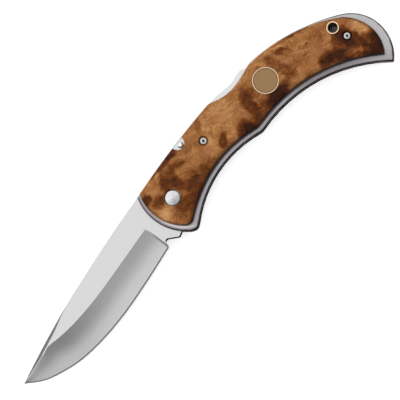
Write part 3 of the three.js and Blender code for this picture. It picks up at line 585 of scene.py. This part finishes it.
def frame_steel(finish, name, inner):
    """Polished steel with painted shade on its rounded edges towards the belly, the front and the
    butt, and a painted highlight on those towards the spine. With `inner`, it also has a painted
    highlight in the half-moon cut-out and painted shade on its faces towards the channel."""
    shader = paint(name)
    place = shader.place()
    x, y, z = shader.parts(place)
    aside, lean, up = shader.facing()
    lines = shader.noise(place * (0.3, 0.3, 6), 1, 3, 0.7)
    cloud = shader.noise(place, 0.12, 3)
    # Painted shade and highlight on the rounded edges: near black towards the belly, grey at the
    # front and the butt, pale towards the spine
    edge = shader.blend(
        finish.wall_shade_colour, finish.end_edge_shade_colour, shader.between(lean + 0.1 * aside, -0.7, 0.3))
    edge = shader.blend(edge, finish.spine_edge_highlight_colour, shader.between(lean - abs(aside), 0.05, 0.3))
    rounded = shader.upright(up, 0.88, 0.995)
    colour = shader.blend(border_colour(shader, finish, place), edge, rounded)
    colour = shader.blend(colour, finish.side_colour, shader.upright(up, 0.15, 0.35))
    if inner:
        # Painted highlight on the steel in the half-moon cut-out
        pin_x, pin_y = fitting_centre("rocker_pin")
        away = shader.reach(x, y, pin_x, pin_y + HALF_MOON_RISE)
        opened = shader.until(away, *HALF_MOON_RIM) * (1 - shader.upright(up))
        colour = shader.blend(colour, shader.shaded(finish.bar_colour, 0.97), opened)
        # Painted shade on the faces towards the blade's channel
        channel = shader.until(abs(z - MIDDLE_Z), CHANNEL_HALF + 0.03, CHANNEL_HALF + 0.2)
        colour = shader.blend(colour, finish.channel_shade_colour, channel)
    colour = shader.shaded(colour, 0.9 + 0.08 * lines + 0.14 * cloud)
    return shader.finish({
        "Base Color": colour,
        "Metallic": 1,
        "Specular Tint": (0, 0, 0),
        "Roughness": finish.roughness + 0.1 * (cloud - 0.5),
    }, lines, 0.004, 0.15)


def bar_steel(finish):
    """Satin steel of the lock bar, lined along its length, with painted shade on its walls."""
    shader = paint("bar_steel")
    place = shader.place()
    _, _, up = shader.facing()
    lines = shader.noise(place * (0.1, 5, 5), 1, 3, 0.7)
    cloud = shader.noise(place, 0.15, 3)
    # Painted shade on the bar's upright walls
    level = 0.9 + 0.1 * lines + 0.08 * cloud - 0.12 * shader.upright(up)
    colour = shader.shaded(finish.bar_colour, level)
    return shader.finish({
        "Base Color": colour,
        "Metallic": 1,
        "Roughness": 0.3 + 0.1 * (cloud - 0.5),
    }, lines, 0.004, 0.2)


def spring_steel():
    """Rolled spring steel with a straw and blue tint from its tempering."""
    shader = paint("spring_steel")
    place = shader.place()
    heat = shader.noise(place, 0.08, 3)
    lines = shader.noise(place * (0.1, 6, 6), 1, 2)
    tint = shader.node("ValToRGB", {"stops": SPRING_TINTS}, {"Fac": heat})
    return shader.finish({
        "Base Color": shader.shaded(tint, 0.85 + 0.2 * lines),
        "Metallic": 1,
        "Roughness": 0.38 + 0.1 * lines,
    }, lines, 0.004, 0.1)


def fitting_centre(node):
    """The middle of a round fitting, in millimetres."""
    low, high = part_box(node)
    return (low.x + high.x) / 2 / MM, (low.y + high.y) / 2 / MM


def around(shader, place, node):
    """Distance from a round fitting's axis, in millimetres, and the angle round it."""
    x, y, _ = shader.parts(place)
    centre_x, centre_y = fitting_centre(node)
    angle = shader.maths("ARCTAN2", y - centre_y, x - centre_x)
    return shader.reach(x, y, centre_x, centre_y), angle


def pin_steel(finish, node, brightness=1, socket=0):
    """Bright turned steel with painted highlights in faint sectors round its axis and painted shade
    on its upright sides. A socket of a given depth in millimetres has painted shade on its floor."""
    shader = paint("pin_steel_" + node)
    place = shader.place()
    away, angle = around(shader, place, node)
    rings = shader.rings(away, 6, 2, 0.6)
    # Painted highlights: brighter on one side of the axis and in faint sectors round it
    broad = shader.maths("SINE", angle)
    sweep = shader.maths("COSINE", angle * 2 + 1.1)
    finer = shader.maths("COSINE", angle * 5 + 0.4)
    sectors = 0.45 * broad + 0.2 * sweep + 0.15 * finer
    _, _, up = shader.facing()
    # Painted shade on upright sides; the brightness factor also raises the rocker pin as a painted
    # highlight
    level = brightness * (0.86 + 0.1 * rings + 0.3 * sectors - 0.4 * shader.upright(up))
    # Painted shade on the floor of a socket
    if socket:
        low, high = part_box(node)
        outer = max(high.z / MM - MIDDLE_Z, MIDDLE_Z - low.z / MM)
        _, _, z = shader.parts(place)
        socket_shade = shader.until(abs(z - MIDDLE_Z), outer - socket, outer - 0.3 * socket)
        level = level * (1 - 0.85 * socket_shade)
    return shader.finish({
        "Base Color": shader.shaded(finish.pin_colour, level),
        "Metallic": 1,
        "Roughness": 0.24 + 0.14 * rings,
    }, rings, 0.01, 0.12)


def brass(finish, node, bore):
    """Pale satin brass, turned, with painted shade in its bore inside a given radius in
    millimetres.
    """
    shader = paint("brass_" + node)
    place = shader.place()
    away, _ = around(shader, place, node)
    _, _, up = shader.facing()
    # Painted shade: the bore's walls are near black, matt and barely metallic
    inside = shader.until(away, bore, bore + 0.15) * shader.upright(up, 0.1, 0.5)
    stain = shader.noise(place, 0.8, 3)
    rings = shader.rings(away, 8, 2)
    colour = shader.shaded(finish.brass_colour, 0.88 + 0.12 * rings + 0.1 * stain)
    colour = shader.blend(colour, BORE_SHADE_COLOUR, inside)
    return shader.finish({
        "Base Color": colour,
        "Metallic": 1 - 0.8 * inside,
        "Roughness": 0.3 + 0.1 * stain + 0.4 * inside,
    }, rings, 0.006, 0.1)


def inlay(finish):
    """Matt aged disc, very slightly mottled and turned, darker at its rim."""
    shader = paint("tan_inlay")
    place = shader.place()
    away, _ = around(shader, place, "medallion_disc")
    rings = shader.rings(away, 5, 3)
    mottle = shader.noise(place, 0.9, 5, 0.6)
    rim = shader.between(away, *DISC_RIM)
    colour = shader.shaded(finish.inlay_colour, 0.93 + 0.05 * rings + 0.1 * mottle - 0.3 * rim)
    return shader.finish({
        "Base Color": colour,
        "Metallic": 0.25,
        "Roughness": 0.5 + 0.15 * mottle,
    }, rings, 0.008, 0.05)


def bronze(finish):
    """Plain rolled bronze of the washers."""
    shader = paint("bronze")
    place = shader.place()
    stain = shader.noise(place, 0.5, 4)
    lines = shader.noise(place * (0.3, 6, 1), 1, 2)
    return shader.finish({
        "Base Color": shader.shaded(finish.bronze_colour, 0.8 + 0.3 * stain),
        "Metallic": 1,
        "Roughness": 0.36 + 0.12 * lines,
    }, lines, 0.004, 0.05)


def figure(shader, swirled, ragged):
    """Depth of the burl's dark patches, from 0 to 1, and of its light ones."""
    clear_of_dark, clear_of_light = 1, 1
    for x, y, along, across, lean, depth in BURL_FIGURE:
        turned = shader.node("VectorRotate", {"rotation_type": "Z_AXIS"}, {
            "Vector": swirled - (x, y, 0), "Angle": math.radians(-lean)})
        away = shader.node("VectorMath", {"operation": "LENGTH"}, {
            0: turned * (1 / along, 1 / across, 0)}, "Value")
        rest = 1 - abs(depth) * shader.until(away + ragged, 0.5, 1.25)
        if depth > 0:
            clear_of_dark = clear_of_dark * rest
        else:
            clear_of_light = clear_of_light * rest
    return 1 - clear_of_dark, 1 - clear_of_light


def burl_wood(finish):
    """Buffed burl: swirled figure, dark patches and eyes, fine curl, painted shade at its edges."""
    shader = paint("burl_wood")
    place = shader.place()
    aside, lean, _ = shader.facing()
    wander = shader.drift(place, 0.14, 3, 0.55)
    flutter = shader.drift(place, 0.5, 2)
    swirled = place + wander * 5 + flutter
    ragged = shader.noise(swirled, 0.16, 2, 0.45) - 0.5
    dark, light = figure(shader, swirled, ragged)
    clouds = shader.noise(swirled, 0.11, 4, 0.5)
    grain = shader.node("VectorRotate", {"rotation_type": "Z_AXIS"}, {
        "Vector": place + wander * 14 + flutter * 1.2, "Angle": math.radians(30)})
    streaks = shader.noise(grain * (0.13, 0.7, 0.4), 1, 3, 0.5)
    curl = shader.noise(grain * (1.2, 0.5, 0.6), 1, 2, 0.5)
    fibre = shader.noise(grain * (0.7, 3.5, 2), 1, 3, 0.6)
    eyes = shader.node("TexVoronoi", {"feature": "SMOOTH_F1"}, {
        "Vector": swirled, "Scale": 0.2, "Smoothness": 0.6}, "Distance")
    eye = shader.until(eyes, 0.05, 0.3) * shader.between(clouds, 0.4, 0.6)
    value = (
        0.62 + 0.7 * (clouds - 0.5) + 0.6 * (streaks - 0.5) + 0.3 * (curl - 0.5)
        + 0.24 * (fibre - 0.5) - 0.1 * eye - 0.55 * dark + 0.28 * light
    )
    colour = shader.node("ValToRGB", {"stops": (
        (0.05, tuple(finish.dark_colour)), (0.34, tuple(finish.brown_colour)),
        (0.64, tuple(finish.warm_colour)), (0.95, tuple(finish.light_colour)),
    )}, {"Fac": value})
    rosy = shader.between(shader.noise(place, 0.12, 2), 0.5, 0.62)
    colour = shader.blend(colour, finish.rosy_colour, 0.16 * rosy * (1 - dark))
    # Painted shade: darker on eased edges facing the belly, the butt and the front, and in a band
    # along the belly
    belly_side_shade = (1 - 0.35 * shader.between(-lean, 0.1, 0.5)) * (
        1 - 0.85 * shader.between(-lean, 0.4, 0.65))
    belly = 1 - 0.25 * shader.until(belly_depth(shader, place), 2, 6)
    butt_side_shade = 1 - 0.6 * shader.between(aside, 0.3, 0.6)
    front_side_shade = 1 - 0.45 * shader.between(-aside, 0.3, 0.6)
    shade = belly_side_shade * belly * butt_side_shade * front_side_shade
    return shader.finish({
        "Base Color": shader.shaded(colour, shade),
        "Roughness": finish.roughness + 0.16 * (fibre - 0.5) + 0.1 * dark,
        "Specular IOR Level": 0.08,
        "Coat Weight": 0.03,
        "Coat Roughness": 0.2,
    }, fibre + 0.5 * curl, 0.02, 0.25)


def floor_paint(glow):
    """Plain matt white, a little uneven, that also glows for the camera and in reflections. The
    glow fades where the knife hides the floor from nearly all sides, so the floor keeps its
    deepest shadow."""
    shader = paint("floor_paint")
    cloud = shader.noise(shader.place(), 0.01, 2)
    seen = shader.node("LightPath", output="Is Camera Ray")
    for ray in ("Is Glossy Ray", "Is Transmission Ray"):
        seen = shader.either(seen, shader.node("LightPath", output=ray))
    open_sky = shader.node("AmbientOcclusion", {"samples": 16}, {"Distance": HIDING_REACH}, "AO")
    level = glow * seen * shader.between(open_sky, *GLOW_SKY)
    return shader.finish({
        "Base Color": shader.shaded((1, 1, 1), 0.97 + 0.03 * cloud),
        "Roughness": 0.9,
        "Specular IOR Level": 0.0,
        "Emission Color": shader.shaded((1, 1, 1), level),
        "Emission Strength": 1,
    })


class KnifeOperator(bpy.types.Operator):
    """Shared start of the knife's operators."""

    bl_options = {"REGISTER", "UNDO"}


class KNIFE_OT_blade(KnifeOperator):
    """Finish the blade: flats, hollow grind, false edge and cutting bevel"""

    bl_idname = "knife.blade"
    bl_label = "Blade"

    def execute(self, context):
        dress("blade", blade_steel(context.scene.knife_blade), BLADE_SPLIT)
        return {"FINISHED"}


class KNIFE_OT_scales(KnifeOperator):
    """Finish both burl scales"""

    bl_idname = "knife.scales"
    bl_label = "Scales"

    def execute(self, context):
        wood = burl_wood(context.scene.knife_wood)
        for node in ("scale_front", "scale_back"):
            dress(node, wood)
        return {"FINISHED"}


class KNIFE_OT_handle_frame(KnifeOperator):
    """Finish the liners and the spacer between them"""

    bl_idname = "knife.handle_frame"
    bl_label = "Liners and spacer"

    def execute(self, context):
        finish = context.scene.knife_frame
        liner = frame_steel(finish, "liner_steel", True)
        for node in ("liner_front", "liner_back"):
            dress(node, liner, LINER_SPLIT)
        dress("back_spacer", frame_steel(finish, "spacer_steel", False))
        return {"FINISHED"}


class KNIFE_OT_lock(KnifeOperator):
    """Finish the lock bar and its leaf spring"""

    bl_idname = "knife.lock"
    bl_label = "Lock bar and spring"

    def execute(self, context):
        dress("lock_bar", bar_steel(context.scene.knife_frame))
        dress("lock_spring", spring_steel())
        return {"FINISHED"}


class KNIFE_OT_pins(KnifeOperator):
    """Finish the pivot, the rocker pin, the spacer pins and the washers"""

    bl_idname = "knife.pins"
    bl_label = "Pins and washers"

    def execute(self, context):
        finish = context.scene.knife_fittings
        for node in ("pivot_barrel", "pivot_stud", "spacer_pin_fore", "spacer_pin_butt"):
            dress(node, pin_steel(finish, node))
        dress("rocker_pin", pin_steel(finish, "rocker_pin", ROCKER_HIGHLIGHT))
        washers = bronze(finish)
        for node in ("washer_front", "washer_back"):
            dress(node, washers)
        return {"FINISHED"}


class KNIFE_OT_screws(KnifeOperator):
    """Finish the four scale screws"""

    bl_idname = "knife.screws"
    bl_label = "Scale screws"

    def execute(self, context):
        finish = context.scene.knife_fittings
        for node in sorted(NODES):
            if node.startswith("scale_screw"):
                dress(node, pin_steel(finish, node, SCREW_GLOSS, SCREW_SOCKET))
        return {"FINISHED"}


class KNIFE_OT_lanyard_tube(KnifeOperator):
    """Finish the lanyard tube, pale brass with painted shade in its bore"""

    bl_idname = "knife.lanyard_tube"
    bl_label = "Lanyard tube"

    def execute(self, context):
        finish = context.scene.knife_fittings
        dress("lanyard_tube", brass(finish, "lanyard_tube", LANYARD_BORE))
        return {"FINISHED"}


class KNIFE_OT_medallion(KnifeOperator):
    """Finish the medallion: a pale brass ring round a bare matt disc"""

    bl_idname = "knife.medallion"
    bl_label = "Medallion"

    def execute(self, context):
        finish = context.scene.knife_fittings
        dress("medallion_ring", brass(finish, "medallion_ring", 0))
        dress("medallion_disc", inlay(finish))
        return {"FINISHED"}


class KNIFE_OT_stage(KnifeOperator):
    """Lay a plain pale floor, hang one soft lamp, light the surroundings and aim the camera"""

    bl_idname = "knife.stage"
    bl_label = "Stage"

    def execute(self, context):
        scene = context.scene
        stage = scene.knife_stage
        self.lay_floor(scene, stage)
        self.hang_lamp(scene, stage)
        self.light_surroundings(scene, stage)
        self.aim_camera(scene, stage)
        scene.view_settings.view_transform = "Standard"
        return {"FINISHED"}

    def lay_floor(self, scene, stage):
        mesh = bpy.data.meshes.new("floor")
        shape = bmesh.new()
        bmesh.ops.create_grid(shape, x_segments=4, y_segments=4, size=stage.floor_size / 2)
        shape.to_mesh(mesh)
        shape.free()
        floor = bpy.data.objects.new("floor", mesh)
        scene.collection.objects.link(floor)
        floor.location.z = CAD_BOX[0][2] - FLOOR_GAP
        mesh.materials.append(floor_paint(stage.floor_glow))

    def hang_lamp(self, scene, stage):
        light = bpy.data.lights.new("soft_lamp", "AREA")
        light.shape = "RECTANGLE"
        light.size = stage.lamp_width
        light.size_y = stage.lamp_depth
        light.energy = stage.lamp_level * math.pi * stage.lamp_width * stage.lamp_depth
        lamp = bpy.data.objects.new("soft_lamp", light)
        scene.collection.objects.link(lamp)
        lamp.location = (0, stage.lamp_depth / 2 - LAMP_OVERHANG, stage.lamp_height)

    def light_surroundings(self, scene, stage):
        scene.world = bpy.data.worlds.new("surroundings")
        shader = Shader(scene.world)
        background = shader.node("Background", None, {
            "Color": (1, 1, 1), "Strength": stage.sky_level})
        shader.node("OutputWorld", None, {"Surface": background})

    def aim_camera(self, scene, stage):
        lean = stage.camera_lean
        turn = stage.handle_angle
        back = Vector((0, -math.sin(lean), math.cos(lean)))
        along = Vector((1, 0, 0))
        across = Vector((0, math.cos(lean), math.sin(lean)))
        right = math.cos(turn) * along - math.sin(turn) * across
        up = math.sin(turn) * along + math.cos(turn) * across
        lens = bpy.data.cameras.new("camera")
        lens.lens = lens.sensor_width * stage.camera_distance / stage.view_width
        camera = bpy.data.objects.new("camera", lens)
        scene.collection.objects.link(camera)
        pose = Matrix((right, up, back)).transposed().to_4x4()
        pose.translation = Vector(stage.view_centre) + back * stage.camera_distance
        camera.matrix_world = pose
        scene.camera = camera


class KNIFE_PT_looks(bpy.types.Panel):
    """Sidebar panel with the knife's operators"""

    bl_idname = "KNIFE_PT_looks"
    bl_label = "Folding knife"
    bl_space_type = "VIEW_3D"
    bl_region_type = "UI"
    bl_category = "Knife"

    def draw(self, context):
        for operator in OPERATORS:
            self.layout.operator(operator.bl_idname)


GROUPS = {
    "knife_blade": BladeFinish,
    "knife_wood": WoodFinish,
    "knife_frame": FrameFinish,
    "knife_fittings": FittingFinish,
    "knife_stage": StageSetup,
}
OPERATORS = (
    KNIFE_OT_stage,
    KNIFE_OT_blade,
    KNIFE_OT_scales,
    KNIFE_OT_handle_frame,
    KNIFE_OT_lock,
    KNIFE_OT_pins,
    KNIFE_OT_screws,
    KNIFE_OT_lanyard_tube,
    KNIFE_OT_medallion,
)


def register():
    for kind in (*GROUPS.values(), *OPERATORS, KNIFE_PT_looks):
        bpy.utils.register_class(kind)
    for name, group in GROUPS.items():
        setattr(bpy.types.Scene, name, PointerProperty(type=group))


def unregister():
    for name in GROUPS:
        delattr(bpy.types.Scene, name)
    for kind in reversed((*GROUPS.values(), *OPERATORS, KNIFE_PT_looks)):
        bpy.utils.unregister_class(kind)


def main():
    register()
    bpy.ops.knife.stage()
    bpy.ops.knife.blade()
    bpy.ops.knife.scales()
    bpy.ops.knife.handle_frame()
    bpy.ops.knife.lock()
    bpy.ops.knife.pins()
    bpy.ops.knife.screws()
    bpy.ops.knife.lanyard_tube()
    bpy.ops.knife.medallion()


if __name__ == "__main__":
    main()
